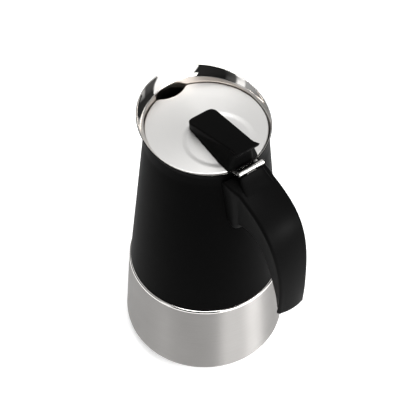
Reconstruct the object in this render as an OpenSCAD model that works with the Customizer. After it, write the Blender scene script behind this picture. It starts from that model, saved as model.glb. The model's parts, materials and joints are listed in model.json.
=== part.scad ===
// Stovetop espresso pot: steel boiler, black steel vessel, sprung lid lever and plastic handle.
// Z is up, the origin is the centre of the base, the handle is on +X and the spout on -X.

/* [Boiler] */
// Outer radius of the boiler just above its bottom corner
boiler_r = 50; // [46:0.5:60]
// How much narrower the boiler is under its shoulder
boiler_taper = 3.3; // [0:0.1:5]
// Radius of the boiler's bottom corner
corner_r = 7.4; // [4:0.2:10]
// Radius of the polished shoulder
shoulder_r = 2; // [1:0.25:3]
// Height of the joint between boiler and vessel
joint_z = 64; // [52:1:78]
// Sheet thickness of the boiler
boiler_wall = 1.2; // [0.8:0.1:2]
// Radius of the heat-spreading base disc
disc_r = 41; // [34:0.5:42]
// Thickness of the base disc
disc_t = 3; // [2:0.5:6]

/* [Threaded collar] */
// Outer radius of the collar between its threads
collar_r = 36; // [30:0.5:39]
// Wall of the collar behind the thread
collar_wall = 2.4; // [1.6:0.2:4]
// Height of the collar above the joint
collar_h = 15; // [12:1:18]
// Thread rise in one turn
thread_pitch = 3; // [2.4:0.1:3.6]
// Turns of thread in mesh
thread_turns = 2; // [1:0.5:2]
// Height of a thread crest above its root
thread_depth = 1.2; // [0.8:0.1:1.6]
// Space between the two threads, measured along the radius
thread_gap = 0.35; // [0.25:0.05:0.6]

/* [Vessel] */
// Sheet thickness of the vessel
vessel_wall = 0.7; // [0.5:0.1:1.2]
// Outer radius of the neck
neck_r = 35.2; // [33:0.2:42.4]
// Height where the cone runs into the neck
neck_z = 168; // [150:0.5:202]
// How far the vessel's foot stands back from the boiler's side
foot_inset = 1; // [0.6:0.1:2]
// Gap between boiler and vessel at the joint
joint_gap = 0.3; // [0.2:0.05:0.6]
// Height of the neck, from the cone to the middle of the lip's crease
neck_h = 8.5; // [6:0.5:12]
// Rise of the crease towards the spout, for each millimetre
crease_tilt = 0.137; // [0.08:0.01:0.15]
// How far the lip flares past the neck, on average
lip_flare = 2.7; // [1:0.1:4]
// How far the lip's edge is shifted towards the spout
lip_shift = 2.6; // [0:0.1:3]
// Height of the lip above its crease
lip_h = 3.8; // [3:0.1:6]
// Rise of the lip's edge towards the spout, for each millimetre
lip_tilt = 0.148; // [0.1:0.01:0.16]
// Thickness of the vessel's floor
floor_t = 1.5; // [1:0.1:3]

/* [Coffee column] */
// Outer radius of the column at the floor
column_r = 6; // [5:0.5:8]
// Outer radius of the column at its top
column_top_r = 4.5; // [3.5:0.5:6]
// Wall of the column
column_wall = 0.8; // [0.6:0.1:1.2]
// Height of the column above the floor
column_h = 64; // [40:1:72]

/* [Funnel] */
// Thickness of the sheet the funnel is pressed from
funnel_wall = 0.8; // [0.6:0.1:1.2]
// Depth of the coffee basket
basket_depth = 26; // [18:1:30]
// Gap between the basket and the collar
basket_gap = 0.5; // [0.3:0.1:1]
// Outer radius of the stem
stem_r = 4; // [3:0.25:6]
// Gap under the stem
stem_gap = 3.5; // [2:0.5:8]
// Radius of a sieve hole
sieve_hole_r = 0.7; // [0.5:0.1:1]

/* [Seal] */
// Thickness of the gasket
gasket_t = 3.2; // [2.4:0.2:4]
// Width of the gasket ring
gasket_w = 8; // [6:0.5:9]
// Thickness of the filter plate
plate_t = 1; // [0.6:0.1:1.5]
// Width of the step that holds the filter plate
plate_seat = 2.6; // [1.5:0.1:4]

/* [Lid] */
// Gap between the lid and the neck
lid_gap = 0.35; // [0.25:0.05:0.8]
// Sheet thickness of the lid
lid_t = 0.8; // [0.6:0.1:1.2]
// Depth of the lid's turned-down edge
lid_edge = 3.5; // [2:0.5:4]
// Radius of the round dish pressed in the lid
dish_r = 20.5; // [16:0.5:22]
// Distance of the dish from the middle of the lid
dish_x = 11.3; // [8:0.1:12]
// Depth of the dish
dish_depth = 1.2; // [0.8:0.1:2]
// Width of the slope round the dish
dish_slope = 2; // [1:0.25:3]
// Radius of the pouring notch
notch_r = 14.7; // [10:0.1:16]
// Depth of the pouring notch
notch_depth = 4.9; // [3:0.1:6]
// Radius of the notch's two corners
notch_corner = 3.5; // [2:0.1:4.5]

/* [Hinge] */
// Distance of the hinge line outside the neck
hinge_out = 4.7; // [4.3:0.1:6]
// Height of the hinge line above the top of the lid
hinge_up = 2.7; // [2:0.1:3]
// Outer radius of the hinge knuckles
barrel_r = 1.4; // [1.2:0.05:1.6]
// Radius of the hinge pin
pin_r = 0.8; // [0.6:0.05:0.9]
// Running clearance round the hinge pin
pin_clear = 0.04; // [0.02:0.01:0.08]
// Length of the three knuckles together
hinge_len = 16.2; // [14:0.2:18]
// Gap between two knuckles
knuckle_gap = 0.15; // [0.1:0.05:0.4]

/* [Lid lever] */
// Half width of the lever's top at its tip
lever_tip_w = 8.9; // [6:0.1:9.5]
// Half width of the lever's top before its ears
lever_waist_w = 6.7; // [5:0.1:8]
// Half width across the ears
lever_ear_w = 7.9; // [6:0.1:9]
// Half width of the lever's foot at its rear
lever_foot_w = 10.4; // [8:0.1:11]
// Half width of the neck behind the ears
lever_neck_w = 5.2; // [4:0.1:5.3]
// Height of the tip above the lid
lever_tip_h = 4.5; // [3:0.1:5.5]
// Height of the ears above the lid
lever_h = 15.2; // [12:0.2:18]
// Length of the lever from its tip to its ears
lever_len = 45.2; // [36:0.2:46]

/* [Handle] */
// Width of the handle where it leaves the vessel
handle_root_w = 27; // [20:0.5:30]
// Width of the handle at its lower end
handle_end_w = 18.5; // [14:0.5:22]
// Reach of the handle from the axis of the pot
handle_reach = 83.4; // [77:0.2:90]
// Height of the handle's lower end
handle_end_z = 99; // [90:1:112]
// Drop of the handle's top below the middle of the lip's crease
handle_drop = 5; // [4:0.5:8]
// Thickness of the handle at its lower end
handle_end_t = 6; // [5:0.5:8]
// Length of the shoe that lies on the vessel
shoe_h = 41; // [36:1:50]
// Gap between the handle and what it covers
handle_gap = 0.15; // [0.1:0.05:0.4]
// Width of the steel bracket in the handle
bracket_w = 12; // [8:0.5:16]
// Thickness of the hinge leaf
leaf_t = 1.2; // [0.8:0.1:1.6]
// Radius of the handle screw's thread
screw_r = 1.5; // [1.2:0.1:2]

/* [Safety valve] */
// Height of the valve above the base
valve_z = 36; // [30:1:42]
// Radius of the valve's threaded stem
valve_r = 4.5; // [4:0.25:6]
// Width across the flats of the valve's hexagon
valve_af = 13; // [11:0.5:16]
// Travel of the valve pin when it opens
valve_travel = 1.2; // [0.8:0.1:1.6]

/* [Hidden] */
$fn = 96;
eps = 0.01;
steel = "silver";
satin = "lightgray";
black = [0.09, 0.09, 0.09];

// Boiler and collar
boiler_top_r = boiler_r - boiler_taper;
corner_z = disc_t + corner_r;
shoulder_z = joint_z - shoulder_r;
collar_in_r = collar_r - collar_wall;
collar_top_z = joint_z + collar_h;
thread_h = thread_pitch * thread_turns;
thread_z = joint_z + 2;
thread_off = thread_depth / 2;
thread_mid_r = collar_r + thread_off;
thread_n = 48;
thread_top_z = thread_z + thread_h;
run_out = 0.4;
ring_mid_r = thread_mid_r + thread_gap;

// Funnel, seal and floor, stacked on the collar
gasket_z = collar_top_z + funnel_wall;
gasket_r = collar_r - 0.5;
gasket_in_r = gasket_r - gasket_w;
plate_r = gasket_in_r + plate_seat;
floor_z = gasket_z + gasket_t;
basket_r = collar_in_r - basket_gap;
basket_z = gasket_z - basket_depth;
cone_h = 9;

// Vessel: radius of the outer surface at a height, and the curves of its lip
foot_z = joint_z + joint_gap;
foot_r = boiler_top_r - foot_inset;
function cone_r(z) = foot_r + (neck_r - foot_r) * (z - foot_z) / (neck_z - foot_z);
neck_in_r = neck_r - vessel_wall;
vessel_n = 96;
crease_z = neck_z + neck_h;
lip_r = neck_r + lip_flare;
lip_z = crease_z + lip_h;
function crease_at(a) = crease_z - crease_tilt * neck_r * cos(a);
function lip_rho(a) = sqrt(pow(lip_r, 2) - pow(lip_shift * sin(a), 2)) - lip_shift * cos(a);
function lip_at(a) = lip_z - lip_tilt * lip_rho(a) * cos(a);

// Lid and hinge
lid_r = neck_in_r - lid_gap;
lid_z = crease_z - 0.2;
hinge_x = neck_r + hinge_out;
hinge_z = lid_z + hinge_up;
knuckle = hinge_len / 3;
leaf_x = hinge_x - 0.2;

// Handle
handle_top_z = crease_z - handle_drop;
shoe_z = handle_top_z - shoe_h;
// The strap starts where the vessel is slim enough to leave room for it
strap_min_z = foot_z + (neck_z - foot_z) * (foot_r - (leaf_x - 0.8)) / (foot_r - neck_r);
strap_z = max(shoe_z + 3, strap_min_z);
screw_z = strap_z + 4;
head_x = leaf_x + leaf_t + 1.6;
shoe_x = max(cone_r(shoe_z) + 4.4, hinge_x + 3.5);

// Valve, along -X: distances of its faces from the axis of the pot
side_slope = boiler_taper / (shoulder_z - corner_z);
function side_r(z) = boiler_r - side_slope * (z - corner_z);
valve_x = side_r(valve_z) + 1.2;
valve_in_x = valve_x - 7.2;
valve_out_x = valve_x + 8;
spring_bore_r = 3;
seat_x = valve_x - 4;
poppet_t = 1.2;
pin_rod_r = 1.2;
cap_t = 1.6;

// Points of a cubic curve through four control points
function curve(p, n) = [for (i = [0 : n]) let (t = i / n, u = 1 - t)
    u * u * u * p[0] + 3 * u * u * t * p[1] + 3 * u * t * t * p[2] + t * t * t * p[3]];

module ring(r_out, r_in, h) {
    difference() {
        cylinder(r = r_out, h = h);
        translate([0, 0, -1]) cylinder(r = r_in, h = h + 2);
    }
}

// The boiler's outer shape, drawn in by a wall thickness
module boiler_solid(inset) {
    top = joint_z - inset;
    rotate_extrude() difference() {
        union() {
            polygon([[0, disc_t + inset], [boiler_r - corner_r, disc_t + inset],
                [boiler_r - corner_r, corner_z], [boiler_r - inset, corner_z],
                [boiler_top_r - inset, shoulder_z], [boiler_top_r - shoulder_r, shoulder_z],
                [boiler_top_r - shoulder_r, top], [0, top]]);
            intersection() {
                translate([boiler_r - corner_r, corner_z]) circle(r = corner_r - inset);
                translate([boiler_r - corner_r, 0]) square([corner_r, corner_z]);
            }
            intersection() {
                translate([boiler_top_r - shoulder_r, shoulder_z]) circle(r = shoulder_r - inset);
                translate([boiler_top_r - shoulder_r, shoulder_z]) square(shoulder_r);
            }
        }
        translate([-boiler_r, 0]) square([boiler_r, joint_z + 1]);
    }
}

module boiler_shell() {
    color(satin) difference() {
        boiler_solid(0);
        boiler_solid(boiler_wall);
        translate([0, 0, joint_z - boiler_wall - 1]) cylinder(r = collar_r, h = boiler_wall + 2);
        along_valve(0) cylinder(r = valve_r, h = boiler_r + 1);
    }
}

module base_disc() {
    edge = disc_t / 2;
    color(steel) rotate_extrude() union() {
        square([disc_r - edge, disc_t]);
        intersection() {
            translate([disc_r - edge, edge]) circle(r = edge);
            translate([disc_r - edge, 0]) square([edge, disc_t]);
        }
    }
}

// A closed ring of facets through outlines of [radius, height], one for each step round the axis.
// Each outline runs up its outside and down its inside.
module loft(outlines) {
    n = len(outlines);
    m = len(outlines[0]);
    points = [for (i = [0 : n - 1], p = outlines[i])
        [p[0] * cos(360 * i / n), p[0] * sin(360 * i / n), p[1]]];
    faces = [for (i = [0 : n - 1], k = [0 : m - 1], half = [0, 1])
        let (i2 = (i + 1) % n, k2 = (k + 1) % m,
            a = i * m + k, b = i2 * m + k, c = i2 * m + k2, d = i * m + k2)
        half == 0 ? [a, c, b] : [a, d, c]];
    polyhedron(points, faces);
}

// Radii of one round thread at an angle, from its lower end up
function thread_line(a, r_mid) = let (steps = round(8 * thread_turns))
    [for (i = [0 : steps]) let (z = thread_h * i / steps)
        [r_mid + thread_off * cos(a - 360 * z / thread_pitch), thread_z + z]];
function reversed(p) = [for (i = [len(p) - 1 : -1 : 0]) p[i]];

module boiler_collar() {
    low = joint_z - boiler_wall;
    color(steel) loft([for (i = [0 : thread_n - 1]) concat(
        [[collar_r, low], [collar_r, thread_z - run_out]],
        thread_line(360 * i / thread_n, thread_mid_r),
        [[collar_r, thread_top_z + run_out], [collar_r, collar_top_z],
            [collar_in_r, collar_top_z], [collar_in_r, low]])]);
}

// Safety valve

// Turns +Z to -X at the valve's height, starting at a distance from the pot's axis
module along_valve(x) {
    translate([-x, 0, valve_z]) rotate([0, -90, 0]) children();
}

module valve_body() {
    color("goldenrod") difference() {
        union() {
            along_valve(valve_in_x) cylinder(r = valve_r, h = valve_x - valve_in_x);
            along_valve(valve_x) cylinder(d = valve_af / cos(30), h = 4, $fn = 6);
            along_valve(valve_x + 4) cylinder(r = valve_r + 0.7, h = valve_out_x - valve_x - 4);
        }
        along_valve(valve_in_x - 1) cylinder(r = 1.8, h = valve_out_x - valve_in_x + 2);
        along_valve(seat_x) cylinder(r = spring_bore_r, h = valve_out_x - seat_x + 1);
    }
}

module valve_washer() {
    color("darkred") difference() {
        along_valve(valve_x - 3) ring(valve_af / 2, valve_r, 3);
        boiler_solid(0, $fn = 240);
    }
}

module valve_nut() {
    nut_t = 3.5;
    color("goldenrod") intersection() {
        along_valve(valve_in_x + 0.5) difference() {
            cylinder(d = valve_af / cos(30), h = nut_t + 4, $fn = 6);
            translate([0, 0, -1]) cylinder(r = valve_r, h = nut_t + 6);
        }
        boiler_solid(boiler_wall);
    }
}

module valve_cap() {
    color("goldenrod") along_valve(valve_out_x - cap_t) ring(spring_bore_r, pin_rod_r + 0.25, cap_t);
}

// The spring's turns are a stack of rings round the pin, between the poppet and the cap
module valve_spring() {
    wire_r = 0.35;
    turns = 6;
    start = seat_x + poppet_t + wire_r;
    span = valve_out_x - cap_t - wire_r - start;
    color(steel) for (i = [0 : turns - 1])
        along_valve(start + span * i / (turns - 1))
            rotate_extrude() translate([2.2, 0]) circle(r = wire_r, $fn = 24);
}

module valve_pin() {
    color(steel) {
        along_valve(seat_x) cylinder(r = spring_bore_r - 0.3, h = poppet_t);
        along_valve(seat_x + poppet_t) cylinder(r = pin_rod_r, h = valve_out_x + 2 - seat_x - poppet_t);
    }
}

// Funnel

module funnel_basket() {
    color(satin) {
        translate([0, 0, collar_top_z]) ring(collar_r, basket_r - funnel_wall, funnel_wall);
        translate([0, 0, basket_z]) ring(basket_r, basket_r - funnel_wall, basket_depth - funnel_wall);
    }
}

// Holes on rings round the middle, about one spacing apart
module hole_rings(first_r, last_r, spacing, r, h) {
    rings = floor((last_r - first_r) / spacing);
    for (k = [0 : rings]) {
        ring_r = first_r + k * spacing;
        count = max(1, round(2 * PI * ring_r / spacing));
        for (i = [0 : count - 1])
            rotate(360 * (i + k / 2) / count) translate([ring_r, 0, 0]) cylinder(r = r, h = h, $fn = 16);
    }
}

module funnel_sieve() {
    color(steel) translate([0, 0, basket_z + funnel_wall]) difference() {
        cylinder(r = basket_r - funnel_wall - 0.02, h = funnel_wall);
        translate([0, 0, -1]) hole_rings(6, basket_r - 5, 6, sieve_hole_r, funnel_wall + 2);
    }
}

module funnel_stem() {
    bottom = disc_t + boiler_wall + stem_gap;
    mouth_z = basket_z - cone_h;
    color(satin) rotate_extrude() polygon([[stem_r, bottom], [stem_r, mouth_z], [basket_r, basket_z],
        [basket_r - funnel_wall, basket_z], [basket_r - funnel_wall, basket_z + funnel_wall],
        [basket_r - 2 * funnel_wall, basket_z + funnel_wall],
        [stem_r - funnel_wall, mouth_z + funnel_wall], [stem_r - funnel_wall, bottom]]);
}

// Seal

module gasket() {
    color("white") translate([0, 0, gasket_z]) difference() {
        ring(gasket_r, gasket_in_r, gasket_t);
        translate([0, 0, gasket_t - plate_t]) cylinder(r = plate_r + 0.2, h = plate_t + 1);
    }
}

module filter_plate() {
    color(steel) translate([0, 0, floor_z - plate_t]) difference() {
        cylinder(r = plate_r, h = plate_t);
        translate([0, 0, -1]) hole_rings(5, gasket_in_r - 3, 5, sieve_hole_r, plate_t + 2);
    }
}

// Vessel

// Outline of the wall at one angle, up the outside and down the inside, as [radius, height]
function wall_outline(a) =
    let (zc = crease_at(a), r1 = lip_rho(a), z1 = lip_at(a),
        bend = [neck_r + 0.15 * (r1 - neck_r), zc + 0.45 * (z1 - zc)],
        lip = [for (i = [0 : 5]) let (t = i / 5, u = 1 - t)
            u * u * [neck_r, zc] + 2 * u * t * bend + t * t * [r1, z1]],
        outside = concat([[foot_r, foot_z], [cone_r(neck_z - 2.4), neck_z - 2.4], [neck_r, neck_z + 0.8]], lip))
    concat(outside, [for (p = reversed(outside)) p - [vessel_wall, 0]]);

module upper_vessel() {
    color(black) loft([for (i = [0 : vessel_n - 1]) wall_outline(360 * i / vessel_n)]);
}

module vessel_floor() {
    color(steel) translate([0, 0, floor_z]) difference() {
        cylinder(r = (cone_r(floor_z + floor_t) - vessel_wall) * cos(180 / vessel_n) - 0.02, h = floor_t);
        translate([0, 0, -1]) cylinder(r = column_r - column_wall, h = floor_t + 2);
    }
}

module vessel_thread_ring() {
    ring_r = ring_mid_r + thread_off + 2;
    bore_r = ring_mid_r + thread_off;
    color(steel) loft([for (i = [0 : thread_n - 1]) concat(
        [[ring_r, thread_z], [ring_r, floor_z], [bore_r, floor_z], [bore_r, thread_top_z + run_out]],
        reversed(thread_line(360 * i / thread_n, ring_mid_r)))]);
}

module coffee_column() {
    base_z = floor_z + floor_t;
    color(steel) rotate_extrude() polygon([[column_r - column_wall, base_z], [column_r + 3, base_z],
        [column_r + 3, base_z + column_wall], [column_r, base_z + 4],
        [column_top_r, base_z + column_h], [column_top_r - column_wall, base_z + column_h],
        [column_r - column_wall, base_z + 4]]);
}

// A turned cap: coffee leaves through two slots under its dome
module column_cap() {
    z = floor_z + floor_t + column_h;
    cap_r = column_top_r + 1.2;
    taper = (column_r - column_top_r) / (column_h - 4);
    color(steel) difference() {
        union() {
            translate([0, 0, z - 6]) cylinder(r = cap_r, h = 12);
            translate([0, 0, z + 6]) intersection() {
                sphere(r = cap_r);
                translate([0, 0, 5]) cube(10, center = true);
            }
        }
        translate([0, 0, z - 7])
            cylinder(r1 = column_top_r + 7 * taper + 0.02, r2 = column_top_r + 0.02, h = 7);
        translate([0, 0, z - 1]) cylinder(r = column_top_r - column_wall, h = 6);
        translate([-cap_r - 1, -1.5, z + 1]) cube([2 * cap_r + 2, 3, 3]);
    }
}

// Handle

// Side view of the handle, outside curve first
module handle_side() {
    top = curve([[hinge_x + 6.1, handle_top_z], [handle_reach - 10.5, handle_top_z - 6.1],
        [handle_reach - 0.2, handle_top_z - 18.5], [handle_reach, handle_end_z]], 28);
    under = curve([[handle_reach - handle_end_t + 1.4, handle_end_z],
        [handle_reach - 8.4, handle_end_z + 17],
        [handle_reach - 13.9, shoe_z + 26], [shoe_x + 1.2, shoe_z + 11.5]], 24);
    polygon(concat([[20, handle_top_z]], top, under, [[shoe_x, shoe_z], [20, shoe_z]]));
}

// Front view: the strip narrows from the root to the lower end
module handle_front() {
    w0 = handle_end_w / 2;
    w1 = handle_root_w / 2;
    knee = handle_top_z - 53;
    polygon(concat([[-w0, handle_end_z - 1], [w0, handle_end_z - 1], [w0, knee]],
        curve([[w0, knee], [w0 + 0.3, knee + 20], [w1 - 1, knee + 35], [w1, handle_top_z + 1]], 10),
        curve([[-w1, handle_top_z + 1], [1 - w1, knee + 35], [-w0 - 0.3, knee + 20], [-w0, knee]], 10)));
}

module cone_solid(extra) {
    span = 10;
    low = shoe_z - span;
    rotate_extrude() polygon([[0, low], [cone_r(low) + extra, low],
        [cone_r(neck_z - 2.4) + extra, neck_z - 2.4], [neck_r + extra, neck_z + 0.8],
        [neck_r + extra, crease_z + span], [0, crease_z + span]]);
}

module handle() {
    half = bracket_w / 2 + handle_gap;
    color(black) difference() {
        intersection() {
            rotate([90, 0, 0]) linear_extrude(height = 2 * handle_root_w, center = true) handle_side();
            translate([20, 0, 0]) rotate([90, 0, 90]) linear_extrude(height = handle_reach) handle_front();
        }
        cone_solid(handle_gap);
        translate([20, -half, strap_z - handle_gap]) cube([leaf_x + leaf_t + handle_gap - 20, 2 * half, 99]);
        translate([leaf_x, 0, screw_z]) rotate([0, 90, 0]) cylinder(r = screw_r + 0.15, h = 6);
        translate([head_x, 0, screw_z]) rotate([0, 90, 0]) cylinder(r = 2 * screw_r, h = 6);
    }
    color(black) hinge_ramp();
}

// A ramp on the handle hides the hinge strap
module hinge_ramp() {
    x = leaf_x + leaf_t + handle_gap;
    top = hinge_z - barrel_r - 0.4;
    rotate([90, 0, 0]) linear_extrude(height = hinge_len - 0.4, center = true)
        polygon([[x, handle_top_z - 3], [x, top], [x + 1.5, top - 0.3], [x + 4.2, (top + handle_top_z) / 2],
            [x + 8.5, handle_top_z - 0.4], [x + 8.5, handle_top_z - 3]]);
}

module handle_bracket() {
    color(steel) difference() {
        translate([20, -bracket_w / 2, strap_z]) cube([leaf_x - 20, bracket_w, neck_z - strap_z]);
        cone_solid(0);
        translate([20, 0, screw_z]) rotate([0, 90, 0]) cylinder(r = screw_r, h = 99);
    }
}

module handle_screw() {
    color(steel) {
        translate([cone_r(screw_z) + 0.4, 0, screw_z]) rotate([0, 90, 0])
            cylinder(r = screw_r, h = head_x - cone_r(screw_z));
        translate([head_x, 0, screw_z]) rotate([0, 90, 0])
            cylinder(r = 2 * screw_r - 0.2, h = 1.4);
    }
}

// The strap behind the handle carries the middle knuckle
module hinge_leaf() {
    color(steel) difference() {
        union() {
            translate([leaf_x, -bracket_w / 2, strap_z])
                cube([leaf_t, bracket_w, handle_top_z - 2 - strap_z]);
            translate([leaf_x, -knuckle / 2, handle_top_z - 3])
                cube([leaf_t, knuckle, hinge_z - handle_top_z + 3]);
            translate([hinge_x, knuckle / 2, hinge_z]) rotate([90, 0, 0]) cylinder(r = barrel_r, h = knuckle);
        }
        translate([hinge_x, knuckle, hinge_z]) rotate([90, 0, 0]) cylinder(r = pin_r, h = 2 * knuckle);
        translate([leaf_x - 1, 0, screw_z]) rotate([0, 90, 0]) cylinder(r = screw_r, h = 9);
    }
}

module hinge_pin() {
    color(steel) translate([hinge_x, hinge_len / 2, hinge_z]) rotate([90, 0, 0])
        cylinder(r = pin_r, h = hinge_len);
}

// Lid

// The corner of the notch is rounded by a circle inside the lid that touches its edge and the notch
module notch_corner_cut(side) {
    bite_x = lid_r - notch_depth + notch_r;
    reach = lid_r - notch_corner;
    span = notch_r + notch_corner;
    x = (pow(reach, 2) - pow(span, 2) + pow(bite_x, 2)) / (2 * bite_x);
    y = sqrt(pow(reach, 2) - pow(x, 2));
    edge = [x, y] * lid_r / reach;
    inner = [x, y] + ([bite_x, 0] - [x, y]) * notch_corner / span;
    mirror([1, 0]) scale([1, side]) difference() {
        polygon([[x, y], edge, edge * 1.05, [bite_x, y], inner]);
        translate([x, y]) circle(r = notch_corner);
    }
}

module lid_outline() {
    arm_w = hinge_len / 2;
    difference() {
        circle(r = lid_r);
        translate([notch_depth - lid_r - notch_r, 0]) circle(r = notch_r);
        notch_corner_cut(1);
        notch_corner_cut(-1);
        for (s = [-1, 1]) translate([lid_r - 3.2, s * (arm_w + 1) - 1]) square([9, 2]);
        translate([lid_r - 1.6, -arm_w + 2.6]) square([9, 2 * arm_w - 5.2]);
    }
}

module lid_arm(y, w) {
    x0 = lid_r - 5;
    translate([0, y + w, 0]) rotate([90, 0, 0]) linear_extrude(height = w)
        polygon([[x0, lid_z - lid_t], [hinge_x - 3.6, lid_z - lid_t],
            [hinge_x, hinge_z - barrel_r], [hinge_x, hinge_z],
            [hinge_x - barrel_r, hinge_z], [hinge_x - 4, lid_z], [x0, lid_z]]);
}

module lid_plate() {
    arm_w = 2.6;
    half = hinge_len / 2;
    lug = knuckle - knuckle_gap;
    color(satin) difference() {
        union() {
            translate([0, 0, lid_z - lid_t]) linear_extrude(height = lid_t) lid_outline();
            intersection() {
                translate([0, 0, lid_z - lid_t - lid_edge]) ring(lid_r, lid_r - lid_t, lid_edge + 0.1);
                translate([0, 0, lid_z - lid_t - lid_edge - 1])
                    linear_extrude(height = lid_edge + 2) lid_outline();
            }
            translate([dish_x, 0, lid_z - lid_t - dish_depth])
                cylinder(r1 = dish_r - dish_slope + 0.4, r2 = dish_r + 0.4, h = dish_depth);
            for (y = [-half, half - arm_w]) lid_arm(y, arm_w);
            for (y = [-half, half - lug]) translate([hinge_x, y + lug, hinge_z])
                rotate([90, 0, 0]) cylinder(r = barrel_r, h = lug);
        }
        translate([dish_x, 0, lid_z - dish_depth])
            cylinder(r1 = dish_r - dish_slope, r2 = dish_r, h = dish_depth);
        for (x = lever_screw_x) translate([x, 0, lid_z - 9]) cylinder(r = screw_r + 0.2, h = 9);
        translate([hinge_x, half + 1, hinge_z]) rotate([90, 0, 0])
            cylinder(r = pin_r + pin_clear, h = hinge_len + 2);
    }
}

lever_tip_x = hinge_x - lever_len - 2.1;
lever_rear_x = lever_tip_x + lever_len;
lever_screw_x = [dish_x - 7.3, dish_x + 10.7];

// A flat plate with round corners, for the hulls of the lever
module corner_pair(x, half_w, z, r, h) {
    for (s = [-1, 1]) translate([x, s * (half_w - r), z]) cylinder(r = r, h = h, $fn = 24);
}

module lid_lever() {
    foot_z = lid_z - dish_depth;
    waist_x = lever_rear_x - 7.5;
    rise = (lever_h - lever_tip_h) / lever_len;
    waist_h = lever_tip_h + rise * (waist_x - lever_tip_x);
    color(black) difference() {
        union() {
            hull() {
                corner_pair(lever_tip_x + 4, lever_tip_w, lid_z + lever_tip_h - 1, 3.8, 0.95);
                corner_pair(lever_tip_x + 4, lever_tip_w, foot_z, 3.4, 0.5);
                corner_pair(waist_x, lever_waist_w, lid_z + waist_h - 1.2, 1, 1.2);
                corner_pair(lever_rear_x - 12, lever_foot_w - 0.6, foot_z, 1, 0.5);
            }
            hull() {
                corner_pair(waist_x, lever_waist_w, lid_z + waist_h - 2.4, 1, 2.4);
                corner_pair(lever_rear_x - 1.2, lever_ear_w, lid_z + lever_h - 2.2, 1, 2);
                corner_pair(lever_rear_x - 6, lever_neck_w, lid_z + 6, 1, 2);
            }
            hull() {
                corner_pair(waist_x - 6, lever_foot_w - 0.5, lid_z, 1, 0.6);
                corner_pair(lever_rear_x - 5.2, lever_foot_w - 0.5, lid_z, 1, 0.6);
                corner_pair(waist_x, lever_waist_w, lid_z + waist_h - 3, 1, 1);
                corner_pair(lever_rear_x - 3.6, lever_neck_w, lid_z, 1, 6);
            }
        }
        for (x = lever_screw_x) translate([x, 0, foot_z - 1]) cylinder(r = screw_r, h = 6);
        difference() {
            translate([0, 0, foot_z - 9]) cylinder(r = lid_r + 9, h = 9 + dish_depth);
            translate([dish_x, 0, foot_z])
                cylinder(r1 = dish_r - dish_slope, r2 = dish_r, h = dish_depth + eps);
        }
    }
}

module lever_screws() {
    under = lid_z - lid_t - dish_depth;
    color(steel) for (x = lever_screw_x) translate([x, 0, 0]) {
        translate([0, 0, under]) cylinder(r = screw_r, h = lid_t + 4.5);
        translate([0, 0, under - 1.4]) cylinder(r = 2 * screw_r - 0.4, h = 1.4);
    }
}

boiler_shell();
base_disc();
boiler_collar();
valve_body();
valve_washer();
valve_nut();
valve_cap();
valve_spring();
valve_pin();
funnel_basket();
funnel_sieve();
funnel_stem();
gasket();
filter_plate();
upper_vessel();
vessel_floor();
vessel_thread_ring();
coffee_column();
column_cap();
handle();
handle_bracket();
handle_screw();
hinge_leaf();
hinge_pin();
lid_plate();
lid_lever();
lever_screws();
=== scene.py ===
# %% [markdown]
# # A stovetop espresso pot
# The pot was engineered first, as separate solids on moving bodies. This notebook gives it its
# looks: each visible piece is rebuilt with the small curves and soft edges of the real one, and
# each surface gets the finish that its maker would have given it. Every size is in millimetres
# and is turned to metres where a mesh is made.

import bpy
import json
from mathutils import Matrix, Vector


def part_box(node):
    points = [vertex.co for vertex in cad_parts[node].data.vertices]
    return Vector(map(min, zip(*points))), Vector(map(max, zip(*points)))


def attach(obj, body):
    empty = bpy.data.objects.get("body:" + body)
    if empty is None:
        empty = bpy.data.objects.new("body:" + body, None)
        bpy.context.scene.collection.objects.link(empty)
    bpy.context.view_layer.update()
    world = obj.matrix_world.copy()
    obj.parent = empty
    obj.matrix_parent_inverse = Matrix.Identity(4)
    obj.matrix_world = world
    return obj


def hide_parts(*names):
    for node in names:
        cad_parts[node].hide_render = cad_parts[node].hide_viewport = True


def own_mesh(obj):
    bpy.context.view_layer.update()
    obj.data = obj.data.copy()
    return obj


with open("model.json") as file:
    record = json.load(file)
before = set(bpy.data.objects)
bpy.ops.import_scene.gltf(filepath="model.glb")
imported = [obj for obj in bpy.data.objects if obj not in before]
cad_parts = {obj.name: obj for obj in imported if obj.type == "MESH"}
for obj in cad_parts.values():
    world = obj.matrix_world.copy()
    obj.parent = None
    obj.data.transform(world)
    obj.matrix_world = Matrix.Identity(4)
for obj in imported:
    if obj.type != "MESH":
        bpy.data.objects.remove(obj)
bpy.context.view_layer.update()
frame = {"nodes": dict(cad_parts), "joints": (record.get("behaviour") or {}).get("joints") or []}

# %% Imports and units
import json
import math

import bmesh
import bpy
from mathutils import Matrix, Vector

MM = 0.001
TAU = 2 * math.pi


def box_mm(node):
    """Lowest and highest corner of a CAD node, in millimetres."""
    low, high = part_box(node)
    return low / MM, high / MM


# %% [markdown]
# ## Sizes that drive the looks
# Heights and radii come from the CAD nodes, so that a new piece always lands where the solid was.
# The hinge line comes from the joint itself.

# %% Read the main sizes
shell_low, shell_high = box_mm("boiler_shell")
vessel_low, vessel_high = box_mm("upper_vessel")
handle_low, handle_high = box_mm("handle")
lever_low, lever_high = box_mm("lid_lever")
disc_high = box_mm("base_disc")[1]
hinge = next(joint for joint in frame["joints"] if joint["name"] == "lid_hinge")
hinge_x, hinge_z = hinge["pos_m"][0] / MM, hinge["pos_m"][2] / MM

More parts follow.
